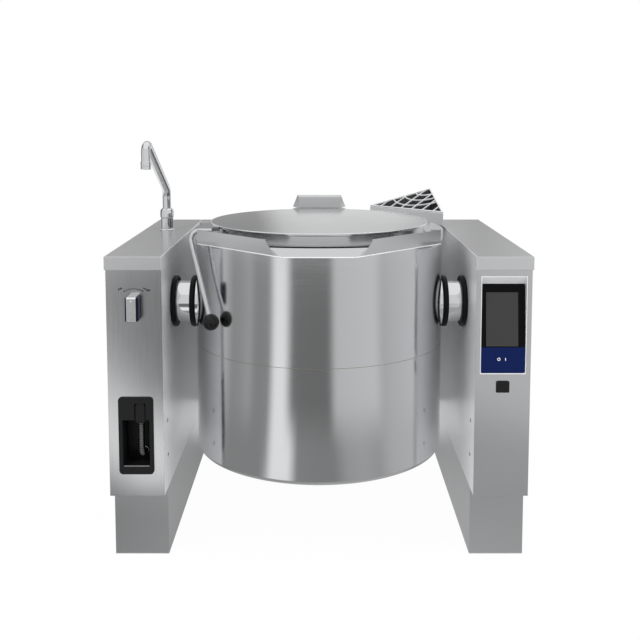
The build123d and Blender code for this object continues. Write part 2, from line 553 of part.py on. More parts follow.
casing_hole = rod_x(TRUNNION_R, -CASING_R - 5, CASING_R + 5, AXIS_Y, AXIS_Z)
SEAM = 0.8
upper = kettle_ring(CASING_R, CASING_R - CASING_T, SEAM_Z + SEAM / 2, SKIRT_Z + 10)
add("upper_casing", upper - casing_hole)
EDGE_R = 14.0
flange_r = CASING_R - 40
outer_edge = [Line((CASING_R, SEAM_Z - SEAM / 2), (CASING_R, CASING_Z0 + EDGE_R)),
              RadiusArc((CASING_R, CASING_Z0 + EDGE_R), (CASING_R - EDGE_R, CASING_Z0), EDGE_R),
              Line((CASING_R - EDGE_R, CASING_Z0), (flange_r, CASING_Z0)),
              Line((flange_r, CASING_Z0), (flange_r, CASING_Z0 + CASING_T)),
              Line((flange_r, CASING_Z0 + CASING_T), (CASING_R - EDGE_R, CASING_Z0 + CASING_T)),
              RadiusArc((CASING_R - EDGE_R, CASING_Z0 + CASING_T),
                        (CASING_R - CASING_T, CASING_Z0 + EDGE_R), -(EDGE_R - CASING_T)),
              Line((CASING_R - CASING_T, CASING_Z0 + EDGE_R),
                   (CASING_R - CASING_T, SEAM_Z - SEAM / 2)),
              Line((CASING_R - CASING_T, SEAM_Z - SEAM / 2), (CASING_R, SEAM_Z - SEAM / 2))]
add("lower_casing", revolved(outer_edge))
bottom = kettle_disc(flange_r + 16, CASING_Z0 + CASING_T, CASING_Z0 + CASING_T + 2)
add("casing_bottom", bottom)

# ---- Rim with the pouring beak -----------------------------------------------------------------

wing_sum = WING_OFFSET * sqrt(2)              # |x| - (y - AXIS_Y) along a wing
lip_y = FRONT - LIP_REACH
SIDE_REACH = sqrt(CASING_R ** 2 - WING_X ** 2)
LIP_CORNER_X = 105.0


def rim_plan(inset=0.0):
    """Plan outline: the kettle's circle with a truncated 45 degree beak in front."""
    reach = wing_sum - inset * sqrt(2)
    wing_x = WING_X - inset
    corner_x = LIP_CORNER_X - inset
    lip = lip_y + inset
    lip_x = reach + lip - AXIS_Y
    back = AXIS_Y - 60
    points = [(wing_x, back), (wing_x, AXIS_Y - reach + wing_x),
              (corner_x, AXIS_Y - reach + corner_x), (lip_x, lip)]
    outline = points + [(-x, y) for x, y in reversed(points)]
    return make_face(closed(outline)) + Pos(0, AXIS_Y) * Circle(CASING_R + 3 - inset)


# The lip's face leans back from a straight foot to the curved joint with the rim plate, and
# meets each wing's end along a slanted edge.
SLANT = (WING_END_TOP_X - WING_END_LOW_X) / (WING_Z - SKIRT_Z)
LIP_Z = RIM_Z - 3.0                          # the lip lies a little lower than the rim
SEAL_STRIP = 2.5                             # width of the seal in the curved joint
joint_half = WING_END_LOW_X + SLANT * (LIP_Z - SKIRT_Z)
joint_end_y = AXIS_Y - wing_sum + joint_half
joint_mid_y = AXIS_Y - BEAK_ARC_Y
joint_sag = joint_end_y - joint_mid_y
joint_r = (joint_half ** 2 + joint_sag ** 2) / (2 * joint_sag)


def on_joint(x, back=0.0):
    """Point of the curved joint at x, or of a line that far behind it."""
    return x, joint_mid_y + back + joint_r - sqrt(joint_r ** 2 - x ** 2)


def joint_arcs(stops, back=0.0):
    """The joint's curve as one arc between each two stops along x."""
    return [ThreePointArc(on_joint(a, back), on_joint((a + b) / 2, back), on_joint(b, back))
            for a, b in zip(stops, stops[1:])]


def ahead_of_joint(back=0.0):
    """Plan area ahead of the joint's curve."""
    half, ahead = joint_half + 30, lip_y - 30
    right, left = on_joint(half, back), on_joint(-half, back)
    return make_face(joint_arcs((-half, 0, half), back)
                     + [Polyline(right, (half, ahead), (-half, ahead), left)])


def lip_sheet(t):
    """The lip's leaning sheet: its foot on the outline, lofted up to the curved joint."""
    foot_x = lip_y - AXIS_Y + wing_sum
    end_x, end_y = WING_END_LOW_X, AXIS_Y - wing_sum + WING_END_LOW_X
    outside = [(-end_x, end_y), (-foot_x, lip_y), (foot_x, lip_y), (end_x, end_y)]
    inner_x = foot_x - t * (sqrt(2) - 1)
    inside = [(end_x, end_y + t * sqrt(2)), (inner_x, lip_y + t), (-inner_x, lip_y + t),
              (-end_x, end_y + t * sqrt(2))]
    stops = (-joint_half, -joint_half / 2, joint_half / 2, joint_half)
    top = joint_arcs(stops) + [Line(on_joint(joint_half), on_joint(joint_half, t))]
    top += joint_arcs(stops[::-1], t) + [Line(on_joint(-joint_half, t), on_joint(-joint_half))]
    return loft([Pos(0, 0, SKIRT_Z) * make_face(closed(outside + inside)),
                 Pos(0, 0, LIP_Z) * make_face(top)], ruled=True)


lip = lip_sheet(RIM_SHEET)
seal_back = RIM_SHEET + SEAL_STRIP
outer_plan, inner_plan = rim_plan(), rim_plan(RIM_SHEET)
skirt = slab(outer_plan - inner_plan, SKIRT_Z, RIM_Z)
rim_plate = slab(inner_plan, RIM_Z - RIM_SHEET, RIM_Z) - kettle_disc(VESSEL_OUT, 900, 1000)
rim_plate -= slab(ahead_of_joint(seal_back), RIM_Z - RIM_SHEET - 1, RIM_Z + 1)
sill = slab(inner_plan, SKIRT_Z, SKIRT_Z + 2) - kettle_disc(CASING_R, 900, 1000)

# Upstand walls along the two wings; skirt and upstands end on the slant beside the lip.
wing_walls = slab(outer_plan - inner_plan, RIM_Z, WING_Z)
wing_back = AXIS_Y - wing_sum + WING_X
wing_walls -= block(-500, 500, wing_back, AXIS_Y + 500, RIM_Z - 1, WING_Z + 1)
end_h = WING_Z + 10 - SKIRT_Z
end_cut = Plane.XZ * make_face(closed([(-WING_END_LOW_X, SKIRT_Z), (WING_END_LOW_X, SKIRT_Z),
                                       (WING_END_LOW_X + SLANT * end_h, SKIRT_Z + end_h),
                                       (-WING_END_LOW_X - SLANT * end_h, SKIRT_Z + end_h)]))
end_cut = Pos(0, lip_y - 10, 0) * extrude(end_cut, -300)
front_zone = block(-200, 200, lip_y - 10, joint_end_y + 15, SKIRT_Z - 1, WING_Z + 20)
end_plate = slab(make_face(closed([(WING_X, wing_back), (WING_X, wing_back + 30),
                                      (WING_X - 30, wing_back - 4)])), WING_Z - 2, WING_Z)
rim = (skirt + wing_walls - (end_cut & front_zone)) + rim_plate + (sill - lip) + end_plate
add("rim_collar", rim)

# Pouring lip: the folded front piece, with a black seal in the joint behind it.
add("pouring_lip", lip)
seal = slab(ahead_of_joint(seal_back) - ahead_of_joint(RIM_SHEET), RIM_Z - 7, RIM_Z)
seal &= block(-joint_half, joint_half, lip_y, joint_end_y + 20, SKIRT_Z, RIM_Z)
add("lip_seal", seal - rim - lip)

# ---- Lid and its hinge -------------------------------------------------------------------------

LID_SHEET = 2.0
EDGE = LID_RIM_Z


def dome(edge_r, edge_z, corner_z, shoulder, apex_z, z0):
    """Filled dome: upright edge, small corner and a shallow crown."""
    corner = Line((edge_r, corner_z), shoulder)
    if corner_z > edge_z - 3.2:
        corner = ThreePointArc((edge_r, corner_z), (edge_r - 2.2, edge_z - 0.9), shoulder)
    rise = apex_z - shoulder[1]
    crown_r = (shoulder[0] ** 2 + rise ** 2) / (2 * rise)
    mid_x = shoulder[0] / 2
    mid_z = apex_z - crown_r + sqrt(crown_r ** 2 - mid_x ** 2)
    crown = ThreePointArc(shoulder, (mid_x, mid_z), (0, apex_z))
    return revolved([Line((0, z0), (edge_r, z0)), Line((edge_r, z0), (edge_r, corner_z)),
                     corner, crown, Line((0, apex_z), (0, z0))])


lid_outside = dome(LID_R, EDGE, EDGE - 3, (LID_R - 7, EDGE), LID_APEX_Z, LID_EDGE_Z)
lid_inside = dome(LID_R - LID_SHEET, EDGE, EDGE - 3.4, (LID_R - 8, EDGE - LID_SHEET),
                  LID_APEX_Z - LID_SHEET, LID_EDGE_Z - 1)
add("lid_shell", lid_outside - lid_inside)
GASKET_T = 3.4
liner_z = NECK_TOP_Z + CLEAR + GASKET_T
lid_liner = [Line((0, liner_z - 12), (285, liner_z - 12)), Line((285, liner_z - 12), (300, liner_z)),
             Line((300, liner_z), (LID_R - LID_SHEET, liner_z)),
             Line((LID_R - LID_SHEET, liner_z), (LID_R - LID_SHEET, liner_z + 1.5)),
             Line((LID_R - LID_SHEET, liner_z + 1.5), (299, liner_z + 1.5)),
             Line((299, liner_z + 1.5), (284, liner_z - 10.5)),
             Line((284, liner_z - 10.5), (0, liner_z - 10.5)),
             Line((0, liner_z - 10.5), (0, liner_z - 12))]
add("lid_liner", revolved(lid_liner))
add("lid_gasket", kettle_ring(VESSEL_OUT + 5, VESSEL_R - 5, NECK_TOP_Z + CLEAR, liner_z))

EAR_X0, EAR_X1 = 48.0, 57.0
EYE_R = 14.0
ARM_BACK = HINGE_Y - 26


def ear():
    """Side cheek of the hinge bracket, from the casing up to the pin."""
    foot_y0 = AXIS_Y + CASING_R + 3
    cheek = closed([(foot_y0, RIM_Z - 86), (foot_y0 + 14, RIM_Z - 86), (HINGE_Y + 7, HINGE_Z),
                    (HINGE_Y - EYE_R, HINGE_Z), (foot_y0, RIM_Z - 26)])
    plate = Pos(EAR_X0, 0, 0) * extrude(Plane.YZ * make_face(cheek), EAR_X1 - EAR_X0)
    plate += rod_x(EYE_R, EAR_X0, EAR_X1, HINGE_Y, HINGE_Z)
    return plate - rod_x(PIN_R, EAR_X0 - 1, EAR_X1 + 1, HINGE_Y, HINGE_Z)


pad_y = AXIS_Y + sqrt((CASING_R + 3) ** 2 - 70 ** 2)
pad = block(-70, 70, pad_y - 6, AXIS_Y + CASING_R + 7, RIM_Z - 90, RIM_Z - 27)
pad -= kettle_disc(CASING_R + 3, SKIRT_Z, RIM_Z + 50)
pad -= kettle_disc(CASING_R, 800, SKIRT_Z + 1)
add("hinge_bracket", pad + ear() + mirrored(ear()))
add("hinge_pin", rod_x(PIN_R, -EAR_X1 - 5, EAR_X1 + 5, HINGE_Y, HINGE_Z))

arm_plate = block(-90, 90, AXIS_Y + 290, ARM_BACK, HINGE_Z - 3, HINGE_Z)
arm_plate -= kettle_disc(LID_R, HINGE_Z - 5, HINGE_Z + 5)
web = block(-44, 44, ARM_BACK - 2, HINGE_Y, HINGE_Z - 6, HINGE_Z + 6)
knuckle = web + rod_x(EYE_R, -44, 44, HINGE_Y, HINGE_Z)
knuckle -= rod_x(PIN_R + RUNNING, -45, 45, HINGE_Y, HINGE_Z)
add("lid_hinge_arm", arm_plate + knuckle)

COVER_Z1 = 1006.0
COVER_FRONT_HALF, COVER_TOP_HALF, COVER_LOW_HALF = 69.0, 75.0, 91.0
cover_y0, cover_y1 = AXIS_Y + 345, AXIS_Y + 425


def cover_body(inset, z1):
    """Body of the hinge cover: its sides flare outwards to the back and to the foot."""
    sections = []
    for z, back_half in ((HINGE_Z, COVER_LOW_HALF), (z1, COVER_TOP_HALF)):
        front, back = COVER_FRONT_HALF - inset, back_half - inset
        y0, y1 = cover_y0 + inset, cover_y1 - inset
        plan = make_face(closed([(-front, y0), (front, y0), (back, y1), (-back, y1)]))
        sections.append(Pos(0, 0, z) * plan)
    return loft(sections, ruled=True)


add("hinge_cover", cover_body(0, COVER_Z1) - cover_body(2, COVER_Z1 - 2))

# Lid lever: bent rod from the lid's left edge, over the rim and down the kettle's side.
LEVER_R, BALL_R = 6.8, 23.0
LEVER_Z = LID_EDGE_Z - LEVER_R - 0.2
LEVER_Y = AXIS_Y - 152
BALL = Vector(-297, AXIS_Y - 262, 716)
lever_start = Vector(-sqrt(LID_R ** 2 - 152 ** 2) + 4, LEVER_Y, LEVER_Z)
elbow = Vector(-371, LEVER_Y, LEVER_Z)
lever_end = BALL + (elbow - BALL).normalized() * (BALL_R - 6)
rod = pipe([lever_start, elbow, lever_end], LEVER_R, 24)
saddle = block(lever_start.X - 22, lever_start.X - 1, LEVER_Y - 9, LEVER_Y + 9, LEVER_Z,
               LID_RIM_Z - 2) - kettle_disc(LID_R, 900, 1000)
ball = Pos(BALL) * Sphere(BALL_R)
add("lever_rod", rod + saddle - ball)
add("lever_ball", ball)

# ---- Write one STEP file per node --------------------------------------------------------------

os.makedirs("parts", exist_ok=True)
for name, shape in pieces.items():
    export_step(shape, f"parts/{name}.step")
print(len(pieces), "nodes written")
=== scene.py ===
"""Looks of a tilting steam jacketed kettle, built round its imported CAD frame, in metres."""
import json
from math import atan2, cos, pi, radians, sin

import bpy
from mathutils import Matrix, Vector

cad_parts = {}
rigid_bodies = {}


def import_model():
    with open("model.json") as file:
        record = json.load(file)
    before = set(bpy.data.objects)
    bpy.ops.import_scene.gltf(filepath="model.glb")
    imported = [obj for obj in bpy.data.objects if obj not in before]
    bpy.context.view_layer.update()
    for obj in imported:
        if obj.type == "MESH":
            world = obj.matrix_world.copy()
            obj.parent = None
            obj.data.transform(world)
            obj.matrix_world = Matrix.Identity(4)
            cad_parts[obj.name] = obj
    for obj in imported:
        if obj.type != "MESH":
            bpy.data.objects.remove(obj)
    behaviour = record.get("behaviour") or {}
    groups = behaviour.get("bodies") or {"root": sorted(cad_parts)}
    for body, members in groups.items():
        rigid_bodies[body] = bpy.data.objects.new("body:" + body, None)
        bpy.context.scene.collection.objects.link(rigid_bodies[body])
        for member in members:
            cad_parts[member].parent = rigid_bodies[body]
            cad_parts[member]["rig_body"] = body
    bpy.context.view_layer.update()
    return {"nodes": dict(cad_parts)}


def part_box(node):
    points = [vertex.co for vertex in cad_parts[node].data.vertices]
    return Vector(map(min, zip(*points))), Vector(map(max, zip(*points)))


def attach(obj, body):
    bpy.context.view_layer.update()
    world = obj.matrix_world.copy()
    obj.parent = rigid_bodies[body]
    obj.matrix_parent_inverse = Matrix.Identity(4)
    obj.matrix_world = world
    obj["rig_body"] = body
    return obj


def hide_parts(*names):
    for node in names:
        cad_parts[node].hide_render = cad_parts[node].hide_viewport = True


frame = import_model()

# ---- Worktops ----------------------------------------------------------------------------------
# Folded stainless tops with softened edges, one on each console.  They are bent from 3 mm sheet,
# ground along their length and fixed from below, so only the turned-down edge shows in front.


class Socket:
    """An output of a node, with arithmetic, so that a finish reads as a formula."""

    def __init__(self, finish, output):
        self.finish, self.output = finish, output

    def beside(self, output):
        """Another output of the same node."""
        return Socket(self.finish, self.output.node.outputs[output])

    def maths(self, operation, *values):
        return self.finish.node("ShaderNodeMath", dict(enumerate(values)), operation=operation)

    def __add__(self, other): return self.maths("ADD", self, other)
    def __radd__(self, other): return self.maths("ADD", other, self)
    def __sub__(self, other): return self.maths("SUBTRACT", self, other)
    def __rsub__(self, other): return self.maths("SUBTRACT", other, self)
    def __mul__(self, other): return self.maths("MULTIPLY", self, other)
    def __rmul__(self, other): return self.maths("MULTIPLY", other, self)
    def __truediv__(self, other): return self.maths("DIVIDE", self, other)
    def __rtruediv__(self, other): return self.maths("DIVIDE", other, self)
    def __lt__(self, other): return self.maths("LESS_THAN", self, other)
    def __gt__(self, other): return self.maths("GREATER_THAN", self, other)
    def __abs__(self): return self.maths("ABSOLUTE", self)


class Finish:
    """The node tree of one material or of the world."""

    def __init__(self, name, owner=None):
        self.block = owner or bpy.data.materials.new(name)
        self.block.use_nodes = True
        self.tree = self.block.node_tree
        self.surface = self.tree.nodes.get("Principled BSDF")

    def put(self, place, value):
        if isinstance(value, Socket):
            self.tree.links.new(value.output, place)
        else:
            place.default_value = value

    def node(self, kind, sockets=None, output=0, stops=None, **settings):
        """Adds a node: its settings first, then its sockets, and gives back one output."""
        made = self.tree.nodes.new(kind)
        for key, value in settings.items():
            setattr(made, key, value)
        if stops:
            steps = made.color_ramp.elements
            steps[0].position, steps[1].position = stops[0][0], stops[-1][0]
            for place, _ in stops[1:-1]:
                steps.new(place)
            for step, (_, tone) in zip(steps, stops):
                step.color = (tone, tone, tone, 1.0)
        for key, value in (sockets or {}).items():
            self.put(made.inputs[key], value)
        return Socket(self, made.outputs[output])

    def place(self):
        """Object coordinates, as a vector and as three numbers."""
        vector = self.node("ShaderNodeTexCoord", output="Object")
        along_x = self.node("ShaderNodeSeparateXYZ", {0: vector})
        return vector, along_x, along_x.beside(1), along_x.beside(2)

    def paint(self, **sockets):
        for key, value in sockets.items():
            self.put(self.surface.inputs[key.replace("_", " ")], value)

    def relief(self, height, strength):
        bump = {"Height": height, "Strength": strength, "Distance": 0.0005}
        self.paint(Normal=self.node("ShaderNodeBump", bump))

    def show(self, shader):
        """Makes a shader the surface of the material or of the world."""
        target = [node for node in self.tree.nodes if node.type.startswith("OUTPUT")][0]
        self.put(target.inputs["Surface"], shader)


def grey(value, tint=(1.0, 1.0, 1.0)):
    return (*(value * part for part in tint), 1.0)


STEEL_TINT = (0.985, 0.995, 1.01)


def ground_steel(name, tone, rough, grain, relief=0.06, metal=1.0):
    """Ground stainless: grain is the noise scale on X, Y and Z, low along the grinding."""
    finish = Finish(name)
    where, *_ = finish.place()
    drawn = finish.node("ShaderNodeMapping", {"Vector": where, "Scale": grain})
    lines = finish.node("ShaderNodeTexNoise", {"Vector": drawn, "Scale": 1.0, "Detail": 2.0})
    cloud = finish.node("ShaderNodeTexNoise", {"Vector": where, "Scale": 5.0, "Detail": 1.0})
    finish.paint(Metallic=metal, Base_Color=grey(tone, STEEL_TINT),
                 Roughness=rough + (lines - 0.5) * 0.08 + (cloud - 0.5) * 0.05)
    finish.relief(lines, relief)
    return finish.block


def deselect():
    """Nothing selected, so that an operator acts on the next piece alone."""
    if bpy.context.object and bpy.context.object.mode != "OBJECT":
        bpy.ops.object.mode_set(mode="OBJECT")
    bpy.ops.object.select_all(action="DESELECT")


def only(piece):
    deselect()
    piece.select_set(True)
    bpy.context.view_layer.objects.active = piece


def mend(piece):
    """Merges doubles, joins flat triangles and turns the faces outwards."""
    only(piece)
    bpy.ops.object.mode_set(mode="EDIT")
    bpy.ops.mesh.select_all(action="SELECT")
    bpy.ops.mesh.remove_doubles(threshold=1e-5)
    bpy.ops.mesh.dissolve_limited(angle_limit=radians(0.5))
    bpy.ops.mesh.normals_make_consistent(inside=False)
    bpy.ops.object.mode_set(mode="OBJECT")


def modified(piece, kind, **settings):
    """Adds one modifier and applies it."""
    only(piece)
    modifier = piece.modifiers.new(kind, kind)
    for key, value in settings.items():
        setattr(modifier, key, value)
    bpy.ops.object.modifier_apply(modifier=modifier.name)


def eased(piece, width, segments=2, smooth=35):
    """Rounds the sharp edges and shades the piece smooth between them."""
    if width:
        modified(piece, "BEVEL", width=width, segments=segments, limit_method="ANGLE",
                 angle_limit=radians(28), use_clamp_overlap=True)
    only(piece)
    bpy.ops.object.shade_smooth_by_angle(angle=radians(smooth))
    if width:
        modified(piece, "WEIGHTED_NORMAL", mode="FACE_AREA", weight=100, keep_sharp=True)


def fitted(piece, material, body, nodes=()):
    """Paints a finished piece, lets it ride on its body and stand for its CAD nodes."""
    piece.data.materials.clear()
    piece.data.materials.append(material)
    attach(piece, body)
    if nodes:
        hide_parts(*nodes)
    return piece


def body_of(node):
    return frame["nodes"][node]["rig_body"]


def copy_of(node):
    """A CAD piece's mesh, merged and mended, as an object of its own."""
    deselect()
    piece = bpy.data.objects.new(node + "_finished", frame["nodes"][node].data.copy())
    bpy.context.scene.collection.objects.link(piece)
    mend(piece)
    return piece


def dressed(node, material, ease, segments=2):
    """A folded or machined CAD piece with its edges eased, in the CAD piece's place."""
    piece = copy_of(node)
    eased(piece, ease, segments)
    return fitted(piece, material, body_of(node), [node])


LENGTHWISE_GRAIN = (500.0, 14.0, 500.0)
top_steel = ground_steel("worktop steel", 0.49, 0.24, LENGTHWISE_GRAIN, metal=0.65)
tops = dressed("worktops", top_steel, 0.0014, segments=3)

# ---- Console sheets ----------------------------------------------------------------------------
# Each console is a frame closed by 2 mm stainless sheets: front, inner side, outer side, back and
# a base plate.  The sheets are ground upright, hang on hidden clips and are held by a few screws.

UPRIGHT_GRAIN, EVEN_GRAIN = (420.0, 420.0, 10.0), (60.0, 60.0, 60.0)
sheet_steel = ground_steel("console sheet", 0.63, 0.20, UPRIGHT_GRAIN)
# Painted light: the inner sheets are a lighter, less metallic copy of the sheet steel, which lifts
# them out of the shade between the consoles and the kettle.
lightened_inner_steel = ground_steel("inner sheet lightened against shade", 0.84, 0.36, UPRIGHT_GRAIN, metal=0.3)
for node in ("left_front_panel", "right_front_panel", "outer_side_panels", "console_back_panels"):
    dressed(node, sheet_steel, 0.0005)
dressed("inner_side_panels", lightened_inner_steel, 0.0005)
tops.data.materials.append(lightened_inner_steel)     # painted light: the worktop edges that face the kettle take the lightened inner steel too
for face in tops.data.polygons:
    if face.normal.x * face.center.x < -0.2:
        face.material_index = 1
plain_steel = ground_steel("mill sheet", 0.58, 0.3, EVEN_GRAIN, 0.01)


def painted_as_is(material, *nodes):
    """CAD pieces whose own mesh is shown, because they are hidden or plain."""
    for node in nodes:
        mesh = frame["nodes"][node].data
        mesh.materials.clear()
        mesh.materials.append(material)


painted_as_is(plain_steel, "console_base_plates", "rear_panel")
dressed("rear_cross_beam", top_steel, 0.0012)

# ---- Plinths and feet --------------------------------------------------------------------------
# A set-back kick plate goes round each console's feet and stands on the floor with a folded
# flange.  The levelling feet behind it are turned stainless pads on threaded studs.

plinth_steel = ground_steel("plinth sheet", 0.58, 0.36, (12.0, 12.0, 420.0))
dressed("plinths", plinth_steel, 0.0006)
painted_as_is(plain_steel, "levelling_feet")

# ---- Side screws -------------------------------------------------------------------------------
# Turned countersunk stainless screws behind each front edge.  They hold the inner side sheets to
# the console frames.

screw_steel = ground_steel("screw heads", 0.5, 0.25, EVEN_GRAIN)
dressed("panel_screws", screw_steel, 0.0004)

# ---- Bearings and tilt drive -------------------------------------------------------------------
# Cast bearing blocks on folded pedestals carry the trunnion shafts inside the consoles, and a
# worm gearbox with its flanged motor turns the right-hand one.  All of it is painted.


def enamel(name, tone, rough, tint=(1.0, 1.0, 1.0), orange_peel=0.03, shine=0.5):
    """Sprayed paint or moulded plastic with a faint uneven skin."""
    finish = Finish(name)
    where, *_ = finish.place()
    skin = finish.node("ShaderNodeTexNoise", {"Vector": where, "Scale": 260.0, "Detail": 2.0})
    finish.paint(Base_Color=grey(tone, tint), Roughness=rough + (skin - 0.5) * 0.06,
                 Specular_IOR_Level=shine)
    finish.relief(skin, orange_peel)
    return finish.block


cast_paint = enamel("grey casting paint", 0.14, 0.5, (0.9, 1.0, 1.1), 0.15)
motor_paint = enamel("motor paint", 0.06, 0.45, (0.8, 1.0, 1.3), 0.08)
painted_as_is(cast_paint, "trunnion_bearings", "tilt_gearbox")
painted_as_is(motor_paint, "tilt_motor")
painted_as_is(plain_steel, "bearing_pedestals")

# ---- Water and power entries -------------------------------------------------------------------
# A brass threaded inlet and a plastic cable gland come up through the rear of the base plates.
# The selector valve is a brass body, and a bent stainless pipe takes its water up to the tap.

brass = Finish("turned brass")
brass_place, *_ = brass.place()
brass_rings = brass.node("ShaderNodeTexNoise", {"Vector": brass_place, "Scale": 180.0})
brass.paint(Metallic=1.0, Base_Color=(0.62, 0.42, 0.16, 1.0),
            Roughness=0.28 + (brass_rings - 0.5) * 0.1)
painted_as_is(brass.block, "water_inlet", "selector_valve")
black_plastic = enamel("black moulding", 0.009, 0.34, orange_peel=0.05, shine=0.14)
painted_as_is(black_plastic, "cable_gland", "control_box", "usb_socket")
painted_as_is(plain_steel, "tap_supply_pipe")

# ---- Trunnion tubes ----------------------------------------------------------------------------
# Turned and polished stainless tubes on the tilt axis, welded to the jacket behind a round boss
# on the casing.  They run through rubber rings into the consoles.


def polished_steel(name, tone, rough):
    finish = Finish(name)
    where, *_ = finish.place()
    cloud = finish.node("ShaderNodeTexNoise", {"Vector": where, "Scale": 40.0, "Detail": 2.0})
    finish.paint(Metallic=1.0, Base_Color=grey(tone, STEEL_TINT),
                 Roughness=rough + (cloud - 0.5) * 0.04)
    return finish.block


def turned(name, outline, sides=96, place=(0.0, 0.0, 0.0), turn=(0.0, 0.0, 0.0)):
    """Turns an outline of (radius, height): a circle extruded and resized from point to point."""
    deselect()
    (radius, height), *rest = outline
    bpy.ops.mesh.primitive_circle_add(vertices=sides, radius=radius, location=(0, 0, height))
    piece = bpy.context.object
    piece.name = piece.data.name = name
    bpy.ops.object.transform_apply(location=True, rotation=True, scale=True)
    bpy.ops.object.mode_set(mode="EDIT")
    bpy.ops.mesh.select_mode(type="VERT")
    bpy.ops.mesh.select_all(action="SELECT")
    for next_radius, next_height in rest:
        bpy.ops.mesh.extrude_region_move(
            TRANSFORM_OT_translate={"value": (0.0, 0.0, next_height - height)})
        if next_radius != radius:
            scale = next_radius / radius
            bpy.ops.transform.resize(value=(scale, scale, 1.0),
                                     center_override=(0.0, 0.0, next_height))
        radius, height = next_radius, next_height
    bpy.ops.mesh.select_all(action="SELECT")
    bpy.ops.mesh.remove_doubles(threshold=1e-6)
    bpy.ops.mesh.fill_holes(sides=0)
    bpy.ops.mesh.select_all(action="SELECT")
    bpy.ops.mesh.normals_make_consistent(inside=False)
    bpy.ops.object.mode_set(mode="OBJECT")
    piece.rotation_euler, piece.location = turn, place
    only(piece)
    bpy.ops.object.transform_apply(location=True, rotation=True, scale=True)
    return piece


def joined(name, pieces):
    only(pieces[0])
    for piece in pieces[1:]:
        piece.select_set(True)
    if len(pieces) > 1:
        bpy.ops.object.join()
    pieces[0].name = pieces[0].data.name = name
    return pieces[0]


def arc(centre, radius, start, end, steps):
    """Points (radius, height) on an arc, for an outline; the angles are in degrees."""
    return [(centre[0] + radius * cos(radians(start + (end - start) * i / steps)),
             centre[1] + radius * sin(radians(start + (end - start) * i / steps)))
            for i in range(steps + 1)]


TUBE_R, BOSS_R, SHAFT_R, EDGE_ROUND = 0.061, 0.072, 0.035, 0.0015
BOSS_IN, BOSS_OUT, TUBE_OUT = 0.352, 0.3685, 0.437      # distances from the middle of the kettle
shaft_low, shaft_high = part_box("trunnions")
axis_y, axis_z = (shaft_low.y + shaft_high.y) / 2, (shaft_low.z + shaft_high.z) / 2


def trunnion(side, shaft_end):
    """Boss, tube and shaft of one side: -1 on the left, 1 on the right."""
    outline = [(BOSS_R, BOSS_IN), (BOSS_R, BOSS_OUT - EDGE_ROUND),
               (BOSS_R - EDGE_ROUND, BOSS_OUT), (TUBE_R, BOSS_OUT),
               (TUBE_R, TUBE_OUT - EDGE_ROUND), (TUBE_R - EDGE_ROUND, TUBE_OUT),
               (SHAFT_R, TUBE_OUT), (SHAFT_R, shaft_end)]
    return turned("trunnion", outline, 96, (0.0, axis_y, axis_z), (0.0, radians(90 * side), 0.0))


tubes = joined("trunnion_tubes", [trunnion(-1, -shaft_low.x), trunnion(1, shaft_high.x)])
eased(tubes, 0)
tube_steel = polished_steel("polished tube", 0.72, 0.05)
fitted(tubes, tube_steel, "kettle", ["trunnions"])

# ---- Rubber rings ------------------------------------------------------------------------------
# Moulded black rubber rings close the gaps round the trunnion tubes, one against each console
# and one against the kettle.  They are stretched over the tube and stay by their own grip.

rubber = Finish("black rubber")
rubber_place, *_ = rubber.place()
rubber_skin = rubber.node("ShaderNodeTexNoise", {"Vector": rubber_place, "Scale": 350.0})
rubber.paint(Base_Color=grey(0.005), Roughness=0.42 + (rubber_skin - 0.5) * 0.15,
             Specular_IOR_Level=0.15)
rubber.relief(rubber_skin, 0.1)


def ring_outline(bore, outer, width, flat=0.0012):
    """Outline of a ring with a full round outer edge."""
    edge = width / 2 - flat
    return ([(bore, 0.0)] + arc((outer - edge, edge), edge, -90, 0, 8)
            + arc((outer - edge, width - edge), edge, 0, 90, 8) + [(bore, width), (bore, 0.0)])


RING_WIDTH = 0.016


def rubber_rings(node, bore_gap):
    """Both rings of a node, turned about the tilt axis."""
    low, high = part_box(node)
    outline = ring_outline(TUBE_R + bore_gap, (high.z - low.z) / 2, RING_WIDTH)
    rings = [turned(node, outline, 96, (x, axis_y, axis_z), (0.0, radians(90), 0.0))
             for x in (low.x, high.x - RING_WIDTH)]
    piece = joined(node + "_rings", rings)
    eased(piece, 0)
    return fitted(piece, rubber.block, body_of(node), [node])


rubber_rings("console_seals", 0.0003)
rubber_rings("kettle_seals", 0.0)

# ---- Kettle casing -----------------------------------------------------------------------------
# Two rolled bands of 1.5 mm satin stainless, butted with a fine joint at mid height, and a bottom
# plate.  The lower band is turned in at its foot over a small radius.

casing_steel = ground_steel("casing steel", 0.67, 0.13, (9.0, 9.0, 420.0), 0.04)
dressed("upper_casing", casing_steel, 0.0004)
dressed("lower_casing", casing_steel, 0.0004)
painted_as_is(plain_steel, "casing_bottom")

# ---- Vessel, jacket and insulation -------------------------------------------------------------
# The dished vessel is polished inside.  Behind it are the welded steam jacket with its tubular
# heaters and a mineral wool blanket, which only show when the casing is off.

vessel_steel = polished_steel("vessel steel", 0.62, 0.2)
painted_as_is(vessel_steel, "inner_vessel")
painted_as_is(plain_steel, "steam_jacket")
painted_as_is(polished_steel("heater tube", 0.3, 0.35), "ring_heaters")
painted_as_is(enamel("mineral wool", 0.45, 0.95, (1.0, 0.85, 0.5), 0.6), "insulation")

# ---- Rim with its wings ------------------------------------------------------------------------
# The rim plate, its skirt and the two slanted wings are bent from one stainless sheet and welded,
# then ground and polished.  Thin rods stand for the sheet's hemmed edges, in a pale, part-matt
# steel:
# a painted highlight that shows them as thin bright lines.

rim_steel = ground_steel("rim steel", 0.61, 0.12, (120.0, 120.0, 300.0), 0.03)
dressed("rim_collar", rim_steel, 0.0011, segments=3)

# ---- Pouring lip and its seal ------------------------------------------------------------------
# The folded front piece lies a little below the rim plate.  A black rubber strip fills the curved
# joint between the two.

dressed("pouring_lip", rim_steel, 0.0011, segments=3)
dressed("lip_seal", rubber.block, 0.0)


